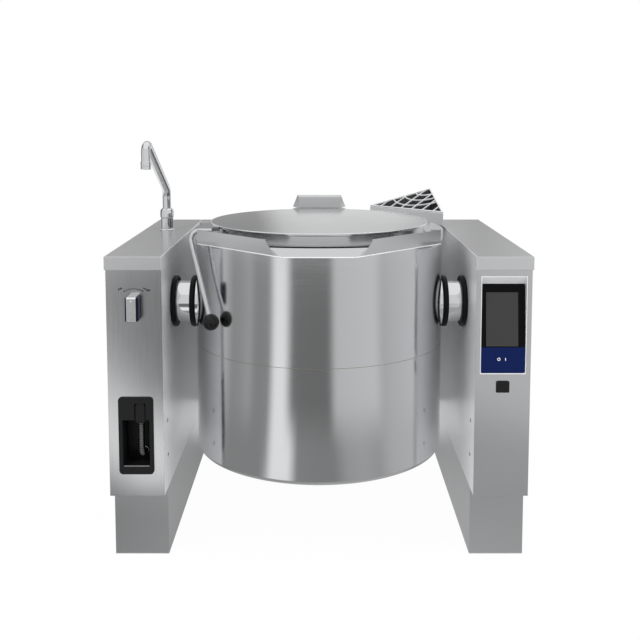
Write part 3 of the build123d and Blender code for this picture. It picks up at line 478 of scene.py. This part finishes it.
def choose(piece, kind, test):
    """Selects the piece's faces or edges that pass a test, and leaves it in edit mode."""
    only(piece)
    bpy.ops.object.mode_set(mode="EDIT")
    bpy.ops.mesh.select_mode(type=kind)
    bpy.ops.mesh.select_all(action="DESELECT")
    bpy.ops.object.mode_set(mode="OBJECT")
    for part in piece.data.polygons if kind == "FACE" else piece.data.edges:
        part.select = test(part)
    bpy.ops.object.mode_set(mode="EDIT")


def hem(start, end, height, radius):
    """A straight folded hem, as a thin rod with round ends between two points of one height."""
    deselect()
    along = Vector(end) - Vector(start)
    bpy.ops.mesh.primitive_cylinder_add(vertices=16, radius=radius, depth=along.length,
                                        location=(0.0, 0.0, 0.0), rotation=(0.0, pi / 2, 0.0))
    rod = bpy.context.object
    bpy.ops.object.transform_apply(location=True, rotation=True, scale=True)
    choose(rod, "FACE", lambda face: abs(face.normal.x) > 0.9)
    bpy.ops.mesh.bevel(offset=0.8 * radius, segments=3)
    bpy.ops.object.mode_set(mode="OBJECT")
    middle = (Vector(start) + Vector(end)) / 2
    rod.location = (middle.x, middle.y, height)
    rod.rotation_euler.z = atan2(along.y, along.x)
    bpy.ops.object.transform_apply(location=True, rotation=True, scale=True)
    return rod


foot_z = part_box("rim_collar")[0].z
HEM_R, HEM_PROUD = 0.0014, 0.001             # its radius, and how far it stands off the sheet
FOOT_HALF = 0.092                            # half the straight foot of the pouring lip
WING_X, WING_Y = 0.3415, -0.3125             # the outer end of a wing's foot
front_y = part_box("pouring_lip")[0].y + HEM_R
hems = [hem((side * WING_X, WING_Y), (side * (FOOT_HALF + HEM_PROUD), front_y),
            foot_z + HEM_R, HEM_R) for side in (-1, 1)]
hems.append(hem((-FOOT_HALF, front_y), (FOOT_HALF, front_y), foot_z + HEM_R, HEM_R))
trim = joined("rim_hem", hems)
eased(trim, 0)
# Painted highlight: the hems' steel is paler and less metallic than the rim's, so they read as
# bright lines.
hem_highlight_steel = ground_steel("hem with painted highlight", 0.86, 0.3, EVEN_GRAIN, 0.0, metal=0.45)
fitted(trim, hem_highlight_steel, "kettle")

# ---- Lid ---------------------------------------------------------------------------------------
# A shallow dished stainless cover with an upright edge, a flat liner below it and a grey silicone
# gasket that meets the vessel's neck.

lid_low, lid_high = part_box("lid_shell")
lid_steel = ground_steel("lid steel", 0.6, 0.16, EVEN_GRAIN, 0.02)
dressed("lid_shell", lid_steel, 0.0006)
BEAD_R, BEAD_Z = 0.0017, 0.9672
bead = turned("lid_bead", arc(((lid_high.x - lid_low.x) / 2 - BEAD_R, 0.0), BEAD_R, 0, 360, 12),
              192, (0.0, (lid_low.y + lid_high.y) / 2, BEAD_Z))
eased(bead, 0)
# Painted highlight: a round bead on the lid's edge whose steel is paler and less metallic than the
# lid's, so the edge shows as a thin bright line.
bead_highlight_steel = ground_steel("lid bead with painted highlight", 0.76, 0.22, EVEN_GRAIN, 0.0, metal=0.75)
fitted(bead, bead_highlight_steel, "lid")
painted_as_is(plain_steel, "lid_liner")
gasket = enamel("grey silicone", 0.16, 0.5)
painted_as_is(gasket, "lid_gasket")

# ---- Hinge -------------------------------------------------------------------------------------
# A bracket on the back of the kettle carries a pin, and the lid's arm turns on it.  A folded
# stainless cover with slanted ends hides the arm's springs.

dressed("hinge_bracket", sheet_steel, 0.0005)
painted_as_is(tube_steel, "hinge_pin")
dressed("lid_hinge_arm", sheet_steel, 0.0005)
dressed("hinge_cover", sheet_steel, 0.001, segments=3)

# ---- Lid lever ---------------------------------------------------------------------------------
# A bent stainless rod, welded to the lid's edge, reaches over the rim.  Its glossy black ball is
# moulded on.

rod_steel = polished_steel("lever rod", 0.66, 0.2)
dressed("lever_rod", rod_steel, 0.0003)
ball_low, ball_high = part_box("lever_ball")
ball_radius = (ball_high.x - ball_low.x) / 2
ball = turned("lever_ball_gloss", arc((0.0, 0.0), ball_radius, -86, 86, 32), 64,
              (ball_low + ball_high) / 2)
eased(ball, 0)
ball_gloss = enamel("black ball gloss", 0.003, 0.07, orange_peel=0.0, shine=0.3)
fitted(ball, ball_gloss, "lid", ["lever_ball"])

# ---- Tap ---------------------------------------------------------------------------------------
# A chromed swivel spout: a turned base screwed to the worktop, a union nut, a drawn pipe with two
# bends and a turned aerator.  The pipe swivels in the nut.

chrome = polished_steel("chrome", 0.74, 0.05)
dressed("spout_pipe", chrome, 0.0004)


def tap_ring(name, node, outline, body):
    """A turned chromed piece in a node's place; heights count from the node's foot."""
    low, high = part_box(node)
    place = ((low.x + high.x) / 2, (low.y + high.y) / 2, low.z)
    piece = turned(name, outline, 64, place)
    eased(piece, 0)
    return fitted(piece, chrome, body, [node])


tap_ring("tap_foot", "tap_base",
         [(0.025, 0.0), (0.025, 0.003), (0.023, 0.005), (0.021, 0.006), (0.021, 0.0425),
          (0.0195, 0.044), (0.010, 0.044), (0.010, 0.058)], "frame")
tap_ring("spout_union", "spout_nut",
         [(0.0102, 0.0), (0.0215, 0.0), (0.023, 0.002), (0.023, 0.020), (0.0215, 0.026),
          (0.018, 0.0305), (0.0145, 0.0317), (0.0102, 0.0317), (0.0102, 0.0)], "spout")
tap_ring("spout_mouth", "spout_aerator",
         [(0.011, 0.008), (0.011, 0.0), (0.0145, 0.0), (0.016, 0.0015), (0.016, 0.009),
          (0.0152, 0.0095), (0.0152, 0.0105), (0.016, 0.011), (0.016, 0.0235), (0.0145, 0.025)],
         "spout")

# ---- Corner vent -------------------------------------------------------------------------------
# A triangular box folded from thin stainless sheet, in the corner behind the kettle, with a cast
# grille laid on its sloping top.

vent_sheet = ground_steel("vent sheet", 0.72, 0.3, EVEN_GRAIN, 0.02, metal=0.5)
vent = dressed("corner_vent_box", vent_sheet, 0.0008)
vent.data.materials.append(polished_steel("vent shadow", 0.12, 0.5))
vent_low, vent_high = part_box("corner_vent_box")
vent_middle = Vector(((vent_low.x + 2 * vent_high.x) / 3, (vent_low.y + 2 * vent_high.y) / 3,
                      (vent_low.z + vent_high.z) / 2))
for face in vent.data.polygons:              # painted shade: the inside faces of the box take a dark, dull steel
    if face.normal.dot(face.center - vent_middle) < 0 and abs(face.normal.z) < 0.5:
        face.material_index = 1
vent_steel = ground_steel("vent grille", 0.82, 0.3, EVEN_GRAIN, 0.02, metal=0.45)
dressed("corner_vent_grille", vent_steel, 0.0006)

# ---- Water selector ----------------------------------------------------------------------------
# A navy moulded knob on the valve's spindle, with a brushed silver bar pressed over it.  The dashes
# of its scale and the tap and shower symbols are printed on the front sheet.

navy_plastic = enamel("navy moulding", 0.006, 0.22, (0.8, 0.6, 3.6), shine=0.15)
dressed("selector_knob", navy_plastic, 0.0012, segments=3)
silver = polished_steel("silver bar", 0.86, 0.25)
dressed("knob_bar", silver, 0.0008, segments=3)


PRINT_T = 0.0003


def dash(x, y, z, width, height, turn=0.0):
    """A thin printed stroke with round ends, on an upright face."""
    deselect()
    bpy.ops.mesh.primitive_cube_add(size=1.0, location=(0.0, 0.0, 0.0))
    stroke = bpy.context.object
    stroke.scale = (width, 2 * PRINT_T, height)
    bpy.ops.object.transform_apply(location=True, rotation=True, scale=True)

    def goes_in(edge):
        a, b = (stroke.data.vertices[v].co for v in edge.vertices)
        return abs(a.y - b.y) > PRINT_T

    choose(stroke, "EDGE", goes_in)
    bpy.ops.mesh.bevel(offset=0.45 * min(width, height), segments=2)
    bpy.ops.object.mode_set(mode="OBJECT")
    stroke.rotation_euler.y, stroke.location = turn, (x, y, z)
    bpy.ops.object.transform_apply(location=True, rotation=True, scale=True)
    return stroke


SCALE_R, SCALE_HALF, SCALE_DASHES = 0.0525, 29.0, 8      # the scale spans 29 degrees each way
knob_low, knob_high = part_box("selector_knob")
knob_x, knob_z = (knob_low.x + knob_high.x) / 2, (knob_low.z + knob_high.z) / 2
print_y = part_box("left_front_panel")[0].y
strokes = []
for i in range(SCALE_DASHES):
    lean = radians(SCALE_HALF * (2 * i / (SCALE_DASHES - 1) - 1))
    strokes.append(dash(knob_x + SCALE_R * sin(lean), print_y, knob_z + SCALE_R * cos(lean),
                        0.0050, 0.0020 + 0.0022 * abs(lean), lean))
tap_x, spray_x, symbol_z = knob_x - 0.037, knob_x + 0.036, knob_z + 0.052
strokes += [dash(tap_x, print_y, symbol_z, 0.011, 0.0026),
            dash(tap_x + 0.002, print_y, symbol_z + 0.003, 0.0022, 0.005),
            dash(tap_x - 0.0048, print_y, symbol_z - 0.0025, 0.0022, 0.005),
            dash(spray_x - 0.005, print_y, symbol_z + 0.001, 0.009, 0.0024, radians(25)),
            dash(spray_x + 0.0005, print_y, symbol_z - 0.003, 0.0024, 0.008, radians(-25)),
            dash(spray_x + 0.007, print_y, symbol_z - 0.0035, 0.008, 0.0042, radians(12))]
printed = joined("selector_marks", strokes)
eased(printed, 0)
print_black = enamel("black print", 0.012, 0.5, shine=0.1)
fitted(printed, print_black, "frame")
pointer = dash(knob_x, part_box("knob_bar")[0].y, knob_high.z - 0.008, 0.0026, 0.0026)
pointer.name = "knob_pointer"
fitted(pointer, enamel("white dot", 0.8, 0.5), "selector")

# ---- Touch panel -------------------------------------------------------------------------------
# A silver moulded frame, clipped into the front sheet, holds a leaning pane of black glass with a
# display behind it and, below it, a navy key strip.

panel_silver = ground_steel("silver frame", 0.74, 0.34, EVEN_GRAIN, 0.02, metal=0.4)
dressed("touch_housing", panel_silver, 0.0008, segments=3)
screen_low, screen_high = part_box("touch_screen")
strip_low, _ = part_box("key_strip")
screen_mid = (screen_low.x + screen_high.x) / 2


PLATE_THICK = 0.006      # more than either plate is thick


def round_corners(piece, radius, upper, lower):
    """Rounds the corners of a thin upright plate at its upper or lower end."""
    points = [vertex.co for vertex in piece.data.vertices]
    middle = (min(p.z for p in points) + max(p.z for p in points)) / 2

    def at_corner(edge):
        a, b = (piece.data.vertices[v].co for v in edge.vertices)
        across = (a - b).length < PLATE_THICK and abs(a.x - b.x) < 1e-6
        return across and ((upper and a.z > middle) or (lower and a.z < middle))

    choose(piece, "EDGE", at_corner)
    bpy.ops.mesh.bevel(offset=radius, segments=6)
    bpy.ops.object.mode_set(mode="OBJECT")


def plate_of(node, radius, upper, lower, material):
    """A plate copied from its node, with round corners and softened edges."""
    plate = copy_of(node)
    round_corners(plate, radius, upper, lower)
    eased(plate, 0.0004)
    return fitted(plate, material, "frame", [node])


def between(finish, factor, first, second):
    """The first colour where the factor is 0, the second where it is 1."""
    return finish.node("ShaderNodeMix", {0: factor, 6: first, 7: second}, output=2,
                       data_type="RGBA")


glass = Finish("screen glass")
_, glass_x, _, glass_z = glass.place()
DISPLAY_X, DISPLAY_HALF_W, DISPLAY_Z0, DISPLAY_Z1 = screen_mid - 0.003, 0.045, 0.635, 0.786
lit = ((abs(glass_x - DISPLAY_X) < DISPLAY_HALF_W)
       * (glass_z > DISPLAY_Z0) * (glass_z < DISPLAY_Z1))
GLASS_BLACK, DISPLAY_GREY = grey(0.0015), grey(0.034)
glass.paint(Roughness=0.08, Specular_IOR_Level=0.08,
            Base_Color=between(glass, lit, GLASS_BLACK, DISPLAY_GREY))
plate_of("touch_screen", 0.007, True, False, glass.block)
strip_navy = enamel("navy strip", 0.011, 0.2, (0.2, 0.75, 5.0), 0.0, shine=0.1)
plate_of("key_strip", 0.006, False, True, strip_navy)

# The strip's on and off marks are printed on it in white.
MARK_Z = 0.598
print_white = enamel("white print", 0.8, 0.5)
deselect()
bpy.ops.mesh.primitive_torus_add(major_radius=0.0037, minor_radius=0.0007, major_segments=32,
                                 minor_segments=6, rotation=(radians(90), 0.0, 0.0),
                                 location=(screen_mid - 0.012, strip_low.y, MARK_Z))
off_mark = bpy.context.object
off_mark.scale.z = 0.3
bpy.ops.object.transform_apply(location=True, rotation=True, scale=True)
on_mark = dash(screen_mid + 0.007, strip_low.y, MARK_Z, 0.0014, 0.0085)
marks = joined("key_strip_marks", [off_mark, on_mark])
eased(marks, 0)
fitted(marks, print_white, "frame")

# ---- USB cover ---------------------------------------------------------------------------------
# A small black flap, moulded with its own hinge pin, which hangs over the data socket and is
# lifted by its lower edge.

dressed("usb_cover", black_plastic, 0.0006)

# ---- Hand shower niche -------------------------------------------------------------------------
# A black moulded liner with a wide frame, let into the left front sheet.  The shower's grip hangs
# in it on a corrugated stainless hose, which leaves through a turned grommet at the back.

dressed("spray_niche", black_plastic, 0.0012, segments=3)
dressed("hand_shower", black_plastic, 0.001)
hose_low, hose_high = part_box("shower_hose")
HOSE_R, BEND_R = 0.0095, 0.034
RIDGE_R, RIDGE_PITCH = 0.0027, 0.0050
hose_x, hose_y = (hose_low.x + hose_high.x) / 2, hose_low.y + HOSE_R
hose_foot = hose_low.z + HOSE_R
drop = hose_high.z - hose_foot - BEND_R
bend = BEND_R * pi / 2
tail = hose_high.y - hose_y - BEND_R


def hose_place(run):
    """Place and lean of the hose's middle line, from the grip down to the grommet."""
    if run < drop:
        return (hose_y, hose_high.z - run), 0.0
    if run < drop + bend:
        lean = (run - drop) / BEND_R
        return (hose_y + BEND_R * (1 - cos(lean)), hose_foot + BEND_R * (1 - sin(lean))), lean
    return (hose_y + BEND_R + run - drop - bend, hose_foot), pi / 2


ridges = []
for i in range(1, int((drop + bend + tail) / RIDGE_PITCH)):
    (y, z), lean = hose_place(i * RIDGE_PITCH)
    deselect()
    bpy.ops.mesh.primitive_torus_add(major_radius=HOSE_R - RIDGE_R, minor_radius=RIDGE_R,
                                     major_segments=28, minor_segments=8,
                                     location=(hose_x, y, z), rotation=(lean, 0.0, 0.0))
    bpy.ops.object.transform_apply(location=True, rotation=True, scale=True)
    ridges.append(bpy.context.object)
hose = joined("corrugated_hose", ridges)
eased(hose, 0, smooth=60)
fitted(hose, polished_steel("hose steel", 0.22, 0.3), "frame", ["shower_hose"])

grommet_low, grommet_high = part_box("hose_grommet")
grommet = turned("grommet_ring", ring_outline(HOSE_R + 0.0005, (grommet_high.z - grommet_low.z) / 2,
                                              grommet_high.y - grommet_low.y),
                 48, (hose_x, grommet_high.y, hose_foot), (radians(90), 0.0, 0.0))
eased(grommet, 0)
fitted(grommet, polished_steel("grommet steel", 0.6, 0.25), "frame", ["hose_grommet"])

HOLE_FOOT, HOLE_HALF, LEDGE_H = 0.287, 0.038, 0.0028
deselect()
niche_low, niche_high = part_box("spray_niche")
bpy.ops.mesh.primitive_cube_add(size=1.0, location=((niche_low.x + niche_high.x) / 2,
                                                    niche_low.y + 0.004, HOLE_FOOT + LEDGE_H / 2))
ledge = bpy.context.object
ledge.name = "niche_ledge"
ledge.scale = (2 * HOLE_HALF - 0.004, 0.004, LEDGE_H)
bpy.ops.object.transform_apply(location=True, rotation=True, scale=True)
eased(ledge, 0.0008)
fitted(ledge, polished_steel("ledge steel", 0.6, 0.3), "frame")

# ---- Floor, light and camera -------------------------------------------------------------------
# The studio round the kettle: a pale paper floor, two soft lamps, and an open tent of light and
# dark cloth that is there for the metal's reflections alone.

deselect()
bpy.ops.mesh.primitive_plane_add(size=60.0, location=(0.0, 0.0, 0.0))
floor = bpy.context.object
floor.name = "floor"
paper = Finish("white paper")
paper.paint(Base_Color=grey(0.9), Roughness=1.0, Specular_IOR_Level=0.0)
_, paper_x, paper_y, _ = paper.place()
FADE_FOOT, FADE_RISE, FADE_AREA = 0.97, 0.03, 6.0    # the paper's white, near the kettle and far
far = (paper_x * paper_x + paper_y * paper_y) / FADE_AREA
clean = paper.node("ShaderNodeMath", {0: far * FADE_RISE + FADE_FOOT, 1: 1.0},
                   operation="MINIMUM")
seen = paper.node("ShaderNodeLightPath", output="Is Camera Ray") * clean
paper.show(paper.node("ShaderNodeMixShader", {0: seen, 1: Socket(paper, paper.surface.outputs[0]),
                                              2: paper.node("ShaderNodeEmission")}))
floor.data.materials.append(paper.block)

# The tent hangs round the vessel's axis.
AXIS_Y = (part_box("lid_gasket")[0].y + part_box("lid_gasket")[1].y) / 2
TENT_R, TENT_H = 4.5, 5.0
deselect()
bpy.ops.mesh.primitive_cylinder_add(vertices=96, radius=TENT_R, depth=TENT_H,
                                    end_fill_type="NGON",
                                    location=(0.0, AXIS_Y, TENT_H / 2 + 0.002))
tent = bpy.context.object
tent.name = "light_tent"
choose(tent, "FACE", lambda face: face.normal.z > 0.5)      # it is open at the top
bpy.ops.mesh.delete(type="FACE")
bpy.ops.object.mode_set(mode="OBJECT")
cloth = Finish("tent walls")
_, tent_x, tent_y, tent_z = cloth.place()
azimuth = cloth.node("ShaderNodeMath", {0: tent_x, 1: 0.0 - tent_y}, operation="ARCTAN2")
turn_part = azimuth / (2 * pi) + 0.5


def at(angle):
    """A ramp's place for an angle in degrees, 0 in front and growing to the right."""
    return angle / 360 + 0.5


# Brightness by direction: of the walls, of the far ground with the walls' foot, and of the near
# ground.
WALLS = [(-180, 0.78), (-176, 0.74), (-173, 0.36), (-167, 0.36), (-160, 0.43), (-130, 0.8),
         (-125, 0.1), (-100, 0.1), (-92, 0.8), (-52, 0.7), (-30, 0.8), (30, 0.8), (88, 0.8),
         (96, 0.1), (118, 0.1), (125, 0.8), (150, 0.8), (164, 0.38), (171, 0.74), (180, 0.78)]
FAR = [(-180, 0.9), (-112, 0.9), (-102, 0.75), (-92, 0.6), (-80, 0.34), (-72, 0.36), (-62, 0.44),
       (-55, 0.31), (-43, 0.31), (-37, 1.05), (-29, 1.05), (-22, 0.2), (8, 0.19), (14, 0.66),
       (48, 0.72), (56, 0.55), (66, 0.6), (90, 0.68), (110, 0.9), (180, 0.9)]
NEAR = [(-180, 0.9), (-110, 0.9), (-92, 0.5), (-80, 0.3), (-44, 0.3), (-37, 1.05), (-24, 1.05),
        (-17, 0.3), (12, 0.28), (22, 0.42), (34, 0.46), (48, 0.42), (60, 0.55), (90, 0.62),
        (110, 0.9), (180, 0.9)]
up, far, near = (cloth.node("ShaderNodeValToRGB", {"Fac": turn_part},
                            stops=[(at(a), v) for a, v in stops]) for stops in (WALLS, FAR, NEAR))
SEAM_Z = 0.35                                # where the far ground's ramp gives way to the walls'
NEAR_R, FAR_R, FOOT_R = 1.4, 1.9, 0.9        # reach of each ring of the ground from the kettle
reach = cloth.node("ShaderNodeMath", {0: tent_x * tent_x + tent_y * tent_y, 1: 0.5},
                   operation="POWER")
ground = between(cloth, (reach - NEAR_R) / (FAR_R - NEAR_R), near, far)
foot_grey = 0.62 - reach * 0.3 + tent_x * 0.12
ground = between(cloth, (FOOT_R + 0.1 - reach) * 5.0, ground, foot_grey)
bands = between(cloth, tent_z > SEAM_Z - TENT_H / 2, ground, up)
cloth.show(cloth.node("ShaderNodeEmission", {"Color": bands}))
tent.data.materials.append(cloth.block)
for ray in ("camera", "diffuse", "transmission", "volume_scatter", "shadow"):
    setattr(tent, "visible_" + ray, False)

world = bpy.context.scene.world or bpy.data.worlds.new("studio")
bpy.context.scene.world = world
air = Finish("studio", world)
camera_ray = air.node("ShaderNodeLightPath", output="Is Camera Ray")
mirrored = camera_ray + camera_ray.beside("Is Glossy Ray")
mirrored = mirrored + camera_ray.beside("Is Transmission Ray")
LIT_GREY, SEEN_WHITE = 0.85, 1.0
lit, white = (air.node("ShaderNodeBackground", {"Color": grey(tone)})
              for tone in (LIT_GREY, SEEN_WHITE))
air.show(air.node("ShaderNodeMixShader", {0: mirrored, 1: lit, 2: white}))

LAMP_SIZE, LAMP_AIM = 1.6, Vector((0.0, 0.0, 0.6))


def lamp(name, place, power):
    """A soft square lamp that looks at the kettle and isn't mirrored in it."""
    deselect()
    bpy.ops.object.light_add(type="AREA", location=place)
    made = bpy.context.object
    made.name = name
    made.data.shape, made.data.size, made.data.size_y = "RECTANGLE", LAMP_SIZE, LAMP_SIZE
    made.data.energy = power
    made.rotation_euler = (LAMP_AIM - Vector(place)).to_track_quat("-Z", "Y").to_euler()
    made.visible_glossy = False


lamp("key_lamp", (-2.2, -2.8, 3.2), 85.0)
lamp("fill_lamp", (2.4, -2.2, 2.4), 60.0)

EYE, LOOK_DOWN, LENS, FRAME_SHIFT = (0.0028, -2.8394, 1.2841), 5.485, 51.085, -0.185
bpy.ops.object.camera_add(location=EYE, rotation=(radians(90.0 - LOOK_DOWN), 0.0, 0.0))
camera = bpy.context.object
camera.name = "camera"
camera.data.sensor_width = 36.0
camera.data.lens = LENS
camera.data.shift_y = FRAME_SHIFT
bpy.context.scene.camera = camera
bpy.context.scene.view_settings.view_transform = "Standard"
